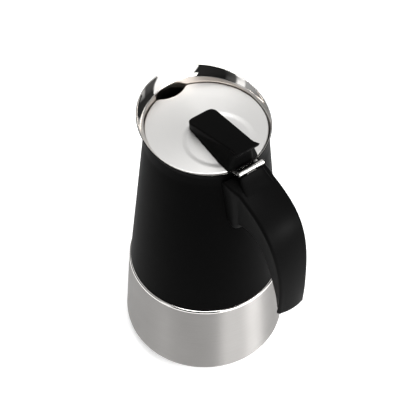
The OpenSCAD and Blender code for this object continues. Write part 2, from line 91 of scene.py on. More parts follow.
boiler_r = shell_high.y
joint_z = shell_high.z
foot_r = vessel_high.y
foot_z = vessel_low.z
HINGE_ABOVE_LID, HINGE_OUT = 2.7, 4.7
lid_z = hinge_z - HINGE_ABOVE_LID
neck_r = hinge_x - HINGE_OUT
wall = 0.7
lid_t = 0.8
LID_GAP = 0.35
lid_r = neck_r - wall - LID_GAP
print("boiler radius", round(boiler_r, 2), "neck radius", round(neck_r, 2))
print("lid height", round(lid_z, 2))

# %% [markdown]
# ## Colours and nodes
# Colours are written as they look on a screen, in hex, and one function turns them to the linear
# values that a shader works in. One more function adds a node and fills its inputs, so that a
# material reads as a short list.


# %% Two helpers for materials
def linear(hex_colour):
    """sRGB hex to the linear red, green, blue and alpha that a shader takes."""
    channels = [int(hex_colour[i:i + 2], 16) / 255 for i in (1, 3, 5)]
    return tuple(c / 12.92 if c <= 0.04045 else ((c + 0.055) / 1.055) ** 2.4 for c in channels) + (1.0,)


def add_node(tree, kind, settings=(), inputs=()):
    """Adds a node, sets its properties, and fills its inputs with values or links."""
    node = tree.nodes.new(kind)
    for name, value in dict(settings).items():
        setattr(node, name, value)
    for name, value in dict(inputs).items():
        if isinstance(value, bpy.types.NodeSocket):
            tree.links.new(value, node.inputs[name])
        else:
            node.inputs[name].default_value = value
    return node


def new_material(name, colour, metallic, roughness, **shader_values):
    """A material with one Principled shader; returns it with its tree and its shader."""
    material = bpy.data.materials.new(name)
    material.use_nodes = True
    tree = material.node_tree
    shader = tree.nodes["Principled BSDF"]
    shader.inputs["Base Color"].default_value = linear(colour)
    shader.inputs["Metallic"].default_value = metallic
    shader.inputs["Roughness"].default_value = roughness
    for label, value in shader_values.items():
        shader.inputs[label.replace("_", " ")].default_value = value
    return material, tree, shader


def length_of(tree, vector):
    """The length of a vector, as a socket."""
    node = add_node(tree, "ShaderNodeVectorMath", {"operation": "LENGTH"}, {"Vector": vector})
    return node.outputs["Value"]


def spots(tree, size_mm, detail):
    """A soft noise mask with spots about as wide as a size in millimetres."""
    place = add_node(tree, "ShaderNodeTexCoord")
    noise = add_node(tree, "ShaderNodeTexNoise", {}, {
        "Vector": place.outputs["Object"], "Scale": 1 / (size_mm * MM), "Detail": detail})
    return noise.outputs["Fac"]


def vary(tree, shader, socket, mask, low, high):
    """Lets a mask between 0 and 1 move a number of the shader between two values."""
    spread = add_node(tree, "ShaderNodeMapRange", {}, {"Value": mask, "To Min": low, "To Max": high})
    tree.links.new(spread.outputs["Result"], shader.inputs[socket])


def tint(tree, shader, mask, dark, light):
    """Lets a mask between 0 and 1 move the base colour between two hex colours."""
    blend = add_node(tree, "ShaderNodeMix", {"data_type": "RGBA"}, {"Factor": mask})
    blend.inputs[6].default_value = linear(dark)
    blend.inputs[7].default_value = linear(light)
    tree.links.new(blend.outputs[2], shader.inputs["Base Color"])


def raise_surface(tree, shader, height, depth_mm):
    """Bump from a mask, as deep as a real depth in millimetres."""
    bump = add_node(tree, "ShaderNodeBump", {}, {
        "Height": height, "Distance": depth_mm * MM, "Strength": 1.0})
    tree.links.new(bump.outputs["Normal"], shader.inputs["Normal"])


# %% [markdown]
# ## Brushed steel
# The boiler is drawn from stainless sheet and brushed on a lathe, so its scratches run round it.
# Stretching a noise along X and Y and squeezing it along Z draws such lines with no seam. The
# lines on the real part are about 0.05 mm apart; here they are 0.3 mm, or they would not show.

# %% Brushed stainless steel, scratches round the axis
LINE_MM = 0.3
LINE_LENGTH_MM = 14.0
SMUDGE_MM = 22


def turned_sheen(tree, shader, anisotropy):
    """Stretches highlights across the scratches of a surface that was finished on a lathe."""
    shader.inputs["Anisotropic"].default_value = anisotropy
    shader.inputs["Anisotropic Rotation"].default_value = 0.25
    tangent = add_node(tree, "ShaderNodeTangent", {"direction_type": "RADIAL", "axis": "Z"})
    tree.links.new(tangent.outputs["Tangent"], shader.inputs["Tangent"])


def brushed_round(name, colour_dark, colour_light, roughness, strength_mm, anisotropy):
    """Steel with fine lines round the axis and faint smudges."""
    material, tree, shader = new_material(name, colour_light, 1.0, roughness)
    place = add_node(tree, "ShaderNodeTexCoord")
    stretch = add_node(tree, "ShaderNodeMapping", {}, {
        "Vector": place.outputs["Object"],
        "Scale": (1 / (LINE_LENGTH_MM * MM), 1 / (LINE_LENGTH_MM * MM), 1 / (LINE_MM * MM))})
    lines = add_node(tree, "ShaderNodeTexNoise", {}, {
        "Vector": stretch.outputs["Vector"], "Scale": 1.0, "Detail": 3.0, "Roughness": 0.6})
    tint(tree, shader, lines.outputs["Fac"], colour_dark, colour_light)
    smudges = spots(tree, SMUDGE_MM, 2.0)
    vary(tree, shader, "Roughness", smudges, roughness - 0.04, roughness + 0.05)
    raise_surface(tree, shader, lines.outputs["Fac"], strength_mm)
    turned_sheen(tree, shader, anisotropy)
    return material


boiler_steel = brushed_round("brushed_stainless_steel", "#908e8c", "#9c9a98", 0.42, 0.0015, 0.95)
inner_steel = brushed_round("satin_stainless_steel", "#aaa49e", "#bdb7b0", 0.38, 0.003, 0.3)

# %% [markdown]
# ## Polished steel
# The lip and the shoulder are buffed to a mirror. Buffing leaves the faintest waves, a few
# millimetres apart, which bend the reflections a little.


# %% Mirror-polished stainless steel
def polished(name, colour, roughness, wave_mm, depth_mm):
    """Metal with a gloss that waves a little."""
    material, tree, shader = new_material(name, colour, 1.0, roughness)
    waves = spots(tree, wave_mm, 1.0)
    vary(tree, shader, "Roughness", waves, roughness, roughness * 1.8)
    raise_surface(tree, shader, waves, depth_mm)
    return material


lip_steel = polished("mirror_polished_steel", "#dddbd8", 0.015, 6.0, 0.004)
neck_steel = polished("buffed_steel", "#c6beb7", 0.1, 3.0, 0.01)
hinge_steel = polished("tumbled_steel", "#d9d7d4", 0.16, 1.5, 0.01)

# %% [markdown]
# ## Satin lid
# The lid is pressed from bright sheet and given a fine circular satin, which scatters the room
# into one pale, nearly white surface. Its rings are 0.12 mm wide on the part and 0.25 mm here.

# %% Circular satin for the lid
RING_MM = 0.25
CLOUD_MM = 18
lid_steel, tree, shader = new_material("circular_satin_steel", "#e9e8e5", 1.0, 0.42)
place = add_node(tree, "ShaderNodeTexCoord")
split = add_node(tree, "ShaderNodeSeparateXYZ", {}, {"Vector": place.outputs["Object"]})
flat = add_node(tree, "ShaderNodeCombineXYZ", {}, {"X": split.outputs["X"], "Y": split.outputs["Y"]})
radius = length_of(tree, flat.outputs["Vector"])
rings = add_node(tree, "ShaderNodeTexNoise", {"noise_dimensions": "1D"}, {
    "W": radius, "Scale": 1 / (RING_MM * MM), "Detail": 2.0})
tint(tree, shader, rings.outputs["Fac"], "#dad9d7", "#e6e5e3")
vary(tree, shader, "Roughness", spots(tree, CLOUD_MM, 2.0), 0.38, 0.48)
raise_surface(tree, shader, rings.outputs["Fac"], 0.002)
turned_sheen(tree, shader, 0.35)

# %% [markdown]
# ## Black coating and black plastic
# The vessel wears a soft, matte baked coating with a very fine orange-peel. The handle and the
# lever are moulded in black nylon with a spark-eroded texture, a little greyer and glossier.


# %% Coated and moulded finishes
HANDLING_MM = 25


def moulded(name, dark, light, roughness, grain_mm, depth_mm, specular):
    """A coated or moulded surface with fine grain and faint traces of handling."""
    material, tree, shader = new_material(name, light, 0.0, roughness, Specular_IOR_Level=specular)
    handling = spots(tree, HANDLING_MM, 3.0)
    tint(tree, shader, handling, dark, light)
    vary(tree, shader, "Roughness", handling, roughness - 0.04, roughness + 0.05)
    raise_surface(tree, shader, spots(tree, grain_mm, 2.0), depth_mm)
    return material


black_coating = moulded("matte_black_baked_coating", "#020202", "#030303", 0.48, 0.5, 0.004, 0.014)
black_nylon = moulded("moulded_black_nylon", "#080808", "#0a0a0a", 0.38, 0.35, 0.008, 0.02)

# %% [markdown]
# ## Brass, silicone and fibre
# The valve is turned from brass bar, the gasket is moulded in white silicone, and the valve's
# washer is punched from red fibre.

# %% Valve and seal materials
turned_brass = polished("turned_brass", "#c9a566", 0.22, 0.8, 0.01)
silicone = moulded("white_silicone", "#dcdad2", "#e6e4dd", 0.55, 0.4, 0.004, 0.4)
red_fibre = moulded("red_fibre", "#5c1a14", "#742219", 0.7, 0.3, 0.02, 0.3)
print("materials:", ", ".join(sorted(material.name for material in bpy.data.materials)))

# %% [markdown]
# ## Turning a shape round an axis
# Most of the pot is sheet metal spun on a lathe. A loft through one outline for each step round
# the axis makes such shells, and also a shell whose outline changes as it goes round, like the
# rising lip. An outline is a closed loop of (radius, height, material index).


# %% Mesh helpers
def put_in_scene(name, data):
    """An object for a mesh, a lamp or a camera, linked to the scene."""
    placed = bpy.data.objects.new(name, data)
    bpy.context.scene.collection.objects.link(placed)
    return placed


def new_piece(name, verts_mm, faces, materials, face_materials=None, crease_deg=35):
    """A mesh piece in metres, with merged doubles, outward faces and smooth shading."""
    mesh = bpy.data.meshes.new(name)
    mesh.from_pydata([Vector(v) * MM for v in verts_mm], [], faces)
    for material in materials:
        mesh.materials.append(material)
    if face_materials:
        mesh.polygons.foreach_set("material_index", face_materials)
    tidy(mesh, crease_deg)
    return put_in_scene(name, mesh)


def write_back(work, mesh, crease_deg):
    """Turns faces outwards and shades smooth, apart from sharp creases."""
    bmesh.ops.recalc_face_normals(work, faces=work.faces)
    work.to_mesh(mesh)
    work.free()
    mesh.shade_smooth()
    mesh.set_sharp_from_angle(angle=math.radians(crease_deg))


def keep_result(piece):
    """Replaces a piece's mesh by what its modifiers make of it."""
    evaluated = piece.evaluated_get(bpy.context.evaluated_depsgraph_get())
    mesh = bpy.data.meshes.new_from_object(evaluated)
    piece.modifiers.clear()
    piece.data = mesh


def tidy(mesh, crease_deg):
    """Merges doubles and flat edges, then finishes the mesh."""
    work = bmesh.new()
    work.from_mesh(mesh)
    bmesh.ops.remove_doubles(work, verts=work.verts, dist=1e-6)
    bmesh.ops.dissolve_degenerate(work, edges=work.edges, dist=1e-7)
    write_back(work, mesh, crease_deg)


def loft(outlines, angles, centre=(0, 0)):
    """Vertices, faces and material indices of a shell through closed outlines at those angles."""
    count, size = len(outlines), len(outlines[0])
    verts = [(centre[0] + r * math.cos(a), centre[1] + r * math.sin(a), z)
             for outline, a in zip(outlines, angles) for r, z, _ in outline]
    faces, indices = [], []
    for i in range(count):
        for k in range(size):
            i2, k2 = (i + 1) % count, (k + 1) % size
            faces.append((i * size + k, i2 * size + k, i2 * size + k2, i * size + k2))
            indices.append(outlines[i][k][2])
    return verts, faces, indices


def through(name, rows, materials, crease_deg=35):
    """A closed solid through loops of points, with a flat face at each end."""
    size, verts = len(rows[0]), [point for row in rows for point in row]
    last = len(verts) - size
    faces = [tuple(range(size)), tuple(range(last + size - 1, last - 1, -1))]
    faces += [(i + k, i + size + k, i + size + (k + 1) % size, i + (k + 1) % size)
              for i in range(0, last, size) for k in range(size)]
    return new_piece(name, verts, faces, materials, None, crease_deg)


def even_angles(count):
    """Angles all the way round, evenly spaced."""
    return [TAU * i / count for i in range(count)]


def spin(name, outline, materials, count=192, crease_deg=35):
    """A plain turned piece: the same outline all the way round."""
    verts, faces, indices = loft([outline] * count, even_angles(count))
    return new_piece(name, verts, faces, materials, indices, crease_deg)


def arc(cx, cz, r, start_deg, end_deg, steps, index=0):
    """Points of (radius, height, material index) along a round stretch of an outline."""
    turns = [math.radians(start_deg + (end_deg - start_deg) * i / steps) for i in range(steps + 1)]
    return [(cx + r * math.cos(t), cz + r * math.sin(t), index) for t in turns]


def stand_for(piece, body, slot, *nodes):
    """Hangs a finished piece on its body and hides the solids it stands for; slot is not used."""
    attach(piece, body)
    if nodes:
        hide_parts(*nodes)
    print(piece.name, "on", body, "with", len(piece.data.polygons), "faces")


# %% [markdown]
# ## The boiler
# One drawn shell: flat bottom, a round corner, sides that lean in a little, and a small shoulder
# that is left mirror-bright where the brushing stops. The bright ring is what catches the eye
# between the steel and the black, so the shoulder has its own arc and its own material.

# %% Boiler shell
CORNER_R = 7.4
SHOULDER_R = 1.3
BOILER_WALL = 1.2
COLLAR_R = 36.0
boiler_top_r = foot_r + 1.0
bottom_z = shell_low.z
corner_z = bottom_z + CORNER_R
shoulder_z = joint_z - SHOULDER_R
BRUSHED, BRIGHT, INNER = 0, 1, 2


def boiler_side(inset, index, bright_index):
    """From the middle of the bottom up to the collar, drawn in by a wall thickness."""
    side = [(0, bottom_z + inset, index)]
    side += arc(boiler_r - CORNER_R, corner_z, CORNER_R - inset, -90, 0, 14, index)
    side += [(boiler_r - inset + (boiler_top_r - boiler_r) * t / 8,
              corner_z + (shoulder_z - corner_z) * t / 8, index) for t in range(1, 8)]
    side += arc(boiler_top_r - SHOULDER_R, shoulder_z, SHOULDER_R - inset, 0, 90, 8, bright_index)
    side += [(COLLAR_R, joint_z - inset, bright_index)]
    return side


outline = boiler_side(0, BRUSHED, BRIGHT) + boiler_side(BOILER_WALL, INNER, INNER)[::-1]
boiler = spin("boiler_skin", outline, [boiler_steel, lip_steel, inner_steel])
stand_for(boiler, "boiler", "brushed_steel", "boiler_shell")

# %% [markdown]
# ## The base disc
# A thick aluminium disc, capped in steel, is pressed under the bottom to spread the heat. Fine
# turned grooves on its face come from the same lathe.

# %% Base disc with turned grooves
disc_r, disc_t = disc_high.x, disc_high.z
groove_count = 9
FIRST_GROOVE, GROOVED_PART = 0.15, 0.78
outline = [(0, 0.35, 0)]
for i in range(groove_count):
    r = disc_r * (FIRST_GROOVE + GROOVED_PART * i / (groove_count - 1))
    outline += [(r - 0.9, 0, 0), (r - 0.35, 0, 0), (r, 0.3, 0), (r + 0.35, 0, 0)]
outline += arc(disc_r - disc_t / 2, disc_t / 2, disc_t / 2, -80, 90, 10) + [(0, disc_t, 0)]
base_disc = spin("base_disc_skin", outline, [boiler_steel], 160, 50)
stand_for(base_disc, "boiler", "brushed_steel", "base_disc")

# %% [markdown]
# ## The vessel
# The upper vessel is one cone with a short straight neck. Its lip flares out from a crisp crease
# and climbs towards the spout, so both the crease and the edge lie in tilted planes. The outside
# is coated black right up to the edge, the inside of the lip is polished, and the rest of the
# inside is left satin.

# %% The vessel's outline at one angle
CREASE_Z = lid_z + 0.2
CREASE_TILT = 0.137
LIP_FLARE = 2.7
LIP_SHIFT = 2.6
LIP_H = 3.8
LIP_TILT = 0.148
LIP_NARROW = 1.5
NECK_Z = 168.0
SHOULDER_DROP, SHOULDER_OUT = 2.4, 0.25
CONE_ROWS, LIP_ROWS = 13, 11
COATED, MIRROR, SATIN, BUFFED = 0, 1, 2, 3


def vessel_outside(angle):
    """(radius, height) up the outside of the vessel, from the foot to the lip's edge."""
    crease = CREASE_Z - CREASE_TILT * neck_r * math.cos(angle)
    ring_r = neck_r + LIP_FLARE
    edge_r = math.sqrt(ring_r ** 2 - (LIP_SHIFT * math.sin(angle)) ** 2)
    edge_r -= LIP_SHIFT * math.cos(angle)
    edge_r -= LIP_NARROW * math.sin(angle) ** 2 * (1 - math.cos(angle)) / 2
    edge_z = CREASE_Z + LIP_H - LIP_TILT * edge_r * math.cos(angle)
    top_r, top_z = neck_r + SHOULDER_OUT, NECK_Z - SHOULDER_DROP
    cone = [(foot_r + (top_r - foot_r) * i / 12, foot_z + (top_z - foot_z) * i / 12)
            for i in range(CONE_ROWS)]
    bend = (neck_r + 0.15 * (edge_r - neck_r), crease + 0.45 * (edge_z - crease))
    lip = []
    for i in range(LIP_ROWS):
        t = i / (LIP_ROWS - 1)
        lip.append(tuple((1 - t) ** 2 * p + 2 * t * (1 - t) * q + t * t * s
                         for p, q, s in zip((neck_r, crease), bend, (edge_r, edge_z))))
    neck = [(neck_r + 0.06, NECK_Z - 0.6), (neck_r, NECK_Z + 0.8), (neck_r, crease - 0.3)]
    return cone + neck + lip


def vessel_outline(angle):
    """The closed loop of the sheet: outside, rounded edge, polished lip, satin inside."""
    outside = vessel_outside(angle)
    lip_from = len(outside) - LIP_ROWS
    inside = [(r - wall, z, MIRROR if k > lip_from else BUFFED if k > CONE_ROWS else SATIN)
              for k, (r, z) in enumerate(outside)]
    edge_r, edge_z = outside[-1]
    mid = edge_r - wall / 2
    edge = [(mid + wall / 2 * math.cos(t), edge_z + wall / 2 * math.sin(t), finish)
            for t, finish in ((0.5, COATED), (1.1, COATED), (1.6, MIRROR), (2.1, MIRROR), (2.6, MIRROR))]
    return [(r, z, COATED) for r, z in outside] + edge + inside[::-1]


# %% Vessel
angles = even_angles(288)
verts, faces, indices = loft([vessel_outline(a) for a in angles], angles)
vessel = new_piece("vessel_skin", verts, faces,
                   [black_coating, lip_steel, inner_steel, neck_steel], indices, 40)
stand_for(vessel, "upper", "black_coating", "upper_vessel")

# %% [markdown]
# ## The lid
# A disc of thin sheet with its edge turned down, a shallow round dish pressed off-centre to make
# room for fingers, and a notch on the spout side that lets the coffee out. The radius of the edge
# is a function of the angle, which draws the notch with its two round corners and the relief
# slots beside the hinge.

# %% The lid's edge as a function of the angle
DISH_R, DISH_X, DISH_DEPTH, DISH_SLOPE = 21.0, 11.3, 0.45, 3.8
NOTCH_R, NOTCH_DEPTH, NOTCH_CORNER = 14.7, 4.9, 3.5
HINGE_LEN = 16.2
RELIEF_W, RELIEF_DEPTH, ARM_W, BACK_CUT = 2.0, 3.2, 2.6, 1.6
half_bar = HINGE_LEN / 2
notch_x = lid_r - NOTCH_DEPTH + NOTCH_R
corner_reach = lid_r - NOTCH_CORNER
corner_span = NOTCH_R + NOTCH_CORNER
corner_x = (corner_reach ** 2 - corner_span ** 2 + notch_x ** 2) / (2 * notch_x)
corner_y = math.sqrt(corner_reach ** 2 - corner_x ** 2)
touch = NOTCH_CORNER / corner_span
bite_end = math.atan2(corner_y * (1 - touch), corner_x + (notch_x - corner_x) * touch)
corner_end = math.atan2(corner_y, corner_x)


def lid_edge(angle):
    """Radius of the lid's edge; angle 0 points at the handle."""
    from_spout = abs(math.atan2(math.sin(angle - math.pi), math.cos(angle - math.pi)))
    if from_spout < bite_end:
        return notch_x * math.cos(from_spout) - math.sqrt(
            NOTCH_R ** 2 - (notch_x * math.sin(from_spout)) ** 2)
    if from_spout < corner_end:
        along = corner_x * math.cos(from_spout) + corner_y * math.sin(from_spout)
        across = corner_y * math.cos(from_spout) - corner_x * math.sin(from_spout)
        return along + math.sqrt(NOTCH_CORNER ** 2 - across ** 2)
    y = abs(lid_r * math.sin(angle))
    if math.cos(angle) > 0 and half_bar < y < half_bar + RELIEF_W:
        return (lid_r - RELIEF_DEPTH) / math.cos(angle)
    if math.cos(angle) > 0 and y < half_bar - ARM_W:
        return (lid_r - BACK_CUT) / math.cos(angle)
    return lid_r


# %% Lid sheet
TURN_R = 0.5
EDGE_DROP = 3.5
STEPS_OUT = 76


def dish(x, y):
    """How far the sheet is pressed down at a point, with soft shoulders."""
    inward = (DISH_R - math.hypot(x - DISH_X, y)) / DISH_SLOPE
    t = min(max(inward, 0), 1)
    return DISH_DEPTH * t * t * (3 - 2 * t)


def lid_outline(angle):
    """The closed loop of the lid's sheet at one angle, with its edge turned down."""
    edge = lid_edge(angle)
    ray = [(edge - TURN_R) * i / STEPS_OUT for i in range(STEPS_OUT + 1)]
    drop = [dish(r * math.cos(angle), r * math.sin(angle)) for r in ray]
    top = [(r, lid_z - d, 0) for r, d in zip(ray, drop)]
    turn = arc(edge - TURN_R, lid_z - TURN_R, TURN_R, 72, 0, 4)
    foot = lid_z - lid_t - EDGE_DROP
    skirt = [(edge, foot + 0.1, 0), (edge - 0.1, foot, 0), (edge - lid_t + 0.1, foot, 0),
             (edge - lid_t, foot + 0.1, 0), (edge - lid_t, lid_z - lid_t - 0.1, 0)]
    under = [(r, lid_z - lid_t - d, 0) for r, d in zip(ray[::-1], drop[::-1])]
    return top + turn + skirt + under


steps = {round(a, 5) for a in even_angles(240)}
for jump in (half_bar - ARM_W, half_bar, half_bar + RELIEF_W):
    a = math.asin(jump / lid_r)
    steps |= {round(sign * a + shift, 5) % TAU for sign in (1, -1) for shift in (-1e-4, 1e-4)}
angles = sorted(steps)
verts, faces = loft([lid_outline(a) for a in angles], angles)[:2]
lid_sheet = new_piece("lid_sheet", verts, faces, [lid_steel], None, 30)

# %% [markdown]
# ## The hinge
# Two arms, cut from the lid's own sheet, run back to the outer knuckles. The middle knuckle
# belongs to the strap behind the handle. Knuckles are short tubes with a small chamfer, so that
# the two joins between them read as fine dark lines.


# %% Hinge parts
EASED_MM = 0.15
BARREL_R, PIN_R = 1.4, 0.8


def soften(piece, width_mm, above_rad, crease_deg=50, segments=4):
    """Bevels the edges of a mesh that are sharper than an angle."""
    work = bmesh.new()
    work.from_mesh(piece.data)
    sharp = [e for e in work.edges if len(e.link_faces) == 2 and e.calc_face_angle() > above_rad]
    bmesh.ops.bevel(work, geom=sharp, offset=width_mm * MM, segments=segments, affect="EDGES",
                    profile=0.5, clamp_overlap=True)
    write_back(work, piece.data, crease_deg)


def along_y(name, outline, y_low, y_high, materials, crease_deg=35):
    """A plate with an outline in X and Z, from one Y to another, with its edges eased."""
    rows = [[(x, y, z) for x, z in outline] for y in (y_low, y_high)]
    piece = through(name, rows, materials, crease_deg)
    soften(piece, EASED_MM, 0.6, crease_deg, 3)
    return piece


def knuckle(name, y_low, y_high, bore_r, material):
    """A short tube along Y on the hinge line."""
    outer, cut = BARREL_R, 0.12
    outline = [(outer - cut, y_low, 0), (outer, y_low + cut, 0), (outer, y_high - cut, 0),
               (outer - cut, y_high, 0), (bore_r, y_high, 0), (bore_r, y_low, 0)]
    verts, faces = loft([outline] * 40, even_angles(40))[:2]
    turned = [(hinge_x + x, z, hinge_z + y) for x, y, z in verts]
    return new_piece(name, turned, faces, [material], None, 30)


def join(name, pieces):
    """Joins finished pieces into one."""
    work = bmesh.new()
    materials = []
    for piece in pieces:
        offset = len(work.faces)
        work.from_mesh(piece.data)
        work.faces.ensure_lookup_table()
        for face in work.faces[offset:]:
            material = piece.data.materials[face.material_index]
            if material not in materials:
                materials.append(material)
            face.material_index = materials.index(material)
    mesh = bpy.data.meshes.new(name)
    work.to_mesh(mesh)
    work.free()
    for material in materials:
        mesh.materials.append(material)
    for piece in pieces:
        bpy.data.objects.remove(piece)
    return put_in_scene(name, mesh)


KNUCKLE_GAP, RUNNING_GAP = 0.15, 0.04
third = HINGE_LEN / 3
arm_side = [(lid_r - 5, lid_z - lid_t), (hinge_x - 3.6, lid_z - lid_t),
            (hinge_x - 0.4, hinge_z - BARREL_R), (hinge_x, hinge_z - 0.9), (hinge_x, hinge_z + 0.4),
            (hinge_x - BARREL_R, hinge_z + 0.2), (hinge_x - 2.2, hinge_z - 0.9),
            (hinge_x - 4, lid_z + 0.02), (lid_r - 5, lid_z + 0.02)]
parts = [lid_sheet]
bore_r = PIN_R + RUNNING_GAP
for side in (-1, 1):
    inner, outer = side * (half_bar - ARM_W), side * half_bar
    parts.append(along_y("arm", arm_side, min(inner, outer), max(inner, outer), [hinge_steel]))
    inner = side * (third / 2 + KNUCKLE_GAP)
    parts.append(knuckle("knuckle", min(inner, outer), max(inner, outer), bore_r, hinge_steel))
lid = join("lid_skin", parts)
stand_for(lid, "lid", "satin_steel", "lid_plate")

# %% Hinge pin and strap
PIN_PROUD = 0.05
pin = knuckle("hinge_pin_skin", -half_bar - PIN_PROUD, half_bar + PIN_PROUD, 0.0, hinge_steel)
for vertex in pin.data.vertices:
    across = Vector((vertex.co.x - hinge_x * MM, vertex.co.z - hinge_z * MM))
    across = across * (PIN_R / BARREL_R)
    vertex.co.x, vertex.co.z = hinge_x * MM + across.x, hinge_z * MM + across.y
stand_for(pin, "upper", "bright_steel", "hinge_pin")

LEAF_T, LEAF_INSET = 1.2, 0.2
leaf_foot = box_mm("hinge_leaf")[0].z
leaf_x = hinge_x - LEAF_INSET
leaf_side = [(leaf_x, leaf_foot), (leaf_x + LEAF_T, leaf_foot), (leaf_x + LEAF_T, hinge_z - 0.7),
             (leaf_x, hinge_z - 0.7)]
strap = along_y("strap", leaf_side, -third / 2, third / 2, [hinge_steel])
middle = knuckle("middle", -third / 2, third / 2, PIN_R, hinge_steel)
leaf = join("hinge_leaf_skin", [strap, middle])
stand_for(leaf, "upper", "bright_steel", "hinge_leaf")

# %% [markdown]
# ## The thumb lever
# A moulded wedge: a broad flat top that climbs to two small ears, sides that spread towards the
# lid, and a narrow neck behind. Three rough lofts are fused by a voxel remesh and then smoothed,
# which rounds every edge as a mould would.


# %% Lever
def block(name, sections):
    """A nylon solid through sections: (top x, half-width and z, then foot x, half-width and z)."""
    rows = [[(x_top, -top_w, top_z), (x_top, top_w, top_z),
             (x_foot, foot_w, foot_z), (x_foot, -foot_w, foot_z)]
            for x_top, top_w, top_z, x_foot, foot_w, foot_z in sections]
    return through(name, rows, [black_nylon])


def melt(piece, voxel_mm, rounds):
    """Fuses overlapping solids and softens their edges."""
    remesh = piece.modifiers.new("remesh", "REMESH")
    remesh.mode, remesh.voxel_size = "VOXEL", voxel_mm * MM
    smooth = piece.modifiers.new("smooth", "SMOOTH")
    smooth.factor, smooth.iterations = 0.5, rounds
    keep_result(piece)
    piece.data.shade_smooth()
    return piece


tip_x, rear_x = lever_low.x, lever_high.x
rest_z = lid_z - DISH_DEPTH
crown = lever_high.z
tip_w, waist_w, ear_w, foot_w, neck_w = 8.9, 6.7, 7.9, 10.4, 5.2
tip_top = lid_z + 4.5
rise = (crown - tip_top) / (rear_x - tip_x)


def top_at(x):
    """Height of the lever's sloping top."""
    return tip_top + rise * (x - tip_x)


waist_x = rear_x - 7.5
wedge = block("wedge", [
    (tip_x + 0.2, tip_w - 3.4, top_at(tip_x) - 0.3, tip_x + 0.6, tip_w - 3.6, rest_z + 0.3),
    (tip_x + 1.2, tip_w - 1.2, top_at(tip_x + 1.2), tip_x + 1.4, tip_w - 1.4, rest_z),
    (tip_x + 3.6, tip_w, top_at(tip_x + 3.6), tip_x + 3.6, tip_w - 0.1, rest_z),
    (waist_x, waist_w, top_at(waist_x), rear_x - 11, foot_w, rest_z),
])
foot = block("foot", [
    (waist_x - 6, waist_w, top_at(waist_x - 6) - 0.4, rear_x - 14, foot_w, lid_z),
    (waist_x, waist_w, top_at(waist_x) - 0.6, rear_x - 4.4, foot_w, lid_z),
    (waist_x + 2.4, neck_w + 0.4, top_at(waist_x) - 2.4, rear_x - 2.9, neck_w + 0.3, lid_z),
])
ears = block("ears", [
    (waist_x - 1, waist_w, top_at(waist_x - 1), waist_x - 1, waist_w - 0.8, top_at(waist_x) - 4),
    (waist_x + 3.4, waist_w + 0.15, top_at(waist_x + 3.4),
     waist_x + 3, waist_w - 0.9, top_at(waist_x) - 3.2),
    (rear_x - 0.5, ear_w, top_at(rear_x), rear_x - 0.8, ear_w - 0.2, top_at(rear_x) - 2.0),
])
lever = melt(join("lever_skin", [wedge, foot, ears]), 0.3, 18)
stand_for(lever, "lid", "black_plastic", "lid_lever")

# %% [markdown]
# ## The handle
# One open loop of nylon. Seen from the side it is held between an outer and an inner curve; seen
# from behind, its strip narrows towards the lower end. Each step along the two curves gives one
# rounded section: a slightly crowned outer face, soft corners and a flatter inner face. At the
# root the section grows into a shield that lies on the vessel, so its first rows are laid on the
# cone. Lofting the sections keeps the long surfaces smooth, which a remesh would not.

# %% Handle curves
HANDLE_DROP, SHOE_LENGTH = 7.5, 38.5
handle_top = hinge_z - HANDLE_DROP
reach = handle_high.x
end_z = handle_low.z
shoe_z = handle_top - SHOE_LENGTH
OUTER_CURVE = ((46, handle_top), (72.9, handle_top - 6.1), (reach - 0.2, handle_top - 18.5),
               (reach, end_z))
INNER_CURVE = ((45.6, shoe_z + 9.7), (69.5, shoe_z + 23.5), (75, end_z + 17), (reach - 5.2, end_z))


def bezier(points, t):
    """A point of a cubic curve."""
    u = 1 - t
    weights = (u ** 3, 3 * u * u * t, 3 * u * t * t, t ** 3)
    return Vector([sum(w * p[i] for w, p in zip(weights, points)) for i in range(2)])


def cone_radius(z):
    """Radius of the vessel's side at a height."""
    top_r, top_z = neck_r + SHOULDER_OUT, NECK_Z - SHOULDER_DROP
    return foot_r + (top_r - foot_r) * min((z - foot_z) / (top_z - foot_z), 1)


def ease(t):
    """A soft step from 0 to 1."""
    t = min(max(t, 0), 1)
    return t * t * (3 - 2 * t)


END_HALF, TOP_HALF, WIDEN_FROM = 9.2, 12.4, 116


def strip_half_width(z):
    """Half the width of the outer strip at a height."""
    return END_HALF + (TOP_HALF - END_HALF) * ease((z - WIDEN_FROM) / (handle_top + 4 - WIDEN_FROM))


# %% Rounded sections
def corner(cy, cd, r, start_deg, steps=6):
    """A quarter turn round a corner, as (sideways, inward) pairs."""
    turns = [math.radians(start_deg + 90 * i / steps) for i in range(steps + 1)]
    return [(cy + r * math.sin(t), cd - r * math.cos(t)) for t in turns]


def half_section(width, inner_width, depth, crown, outer_r, inner_r):
    """From the middle of the outer face round one side to the middle of the inner face."""
    outer_r, inner_r = min(outer_r, depth * 0.4), min(inner_r, depth * 0.45, inner_width * 0.85)
    face = [((width - outer_r) * i / 6, crown * (i / 6) ** 2) for i in range(6)]
    side = corner(width - outer_r, crown + outer_r, outer_r, 0)
    low = corner(inner_width - inner_r, depth - inner_r, inner_r, 90, 9)
    back = [((inner_width - inner_r) * (2 - i) / 3, depth) for i in range(3)]
    between = [(width + (inner_width - width) * i / 4,
                side[-1][1] + (low[0][1] - side[-1][1]) * i / 4) for i in range(1, 4)]
    return face + side + between + low + back


def section(outer, inner, half):
    """One closed loop of points from half a section."""
    depth = (inner - outer).length
    down = (inner - outer) / depth
    loop = half + [(-y, d) for y, d in half[-2:0:-1]]
    return [Vector((outer.x + down.x * d, y, outer.y + down.y * d)) for y, d in loop]


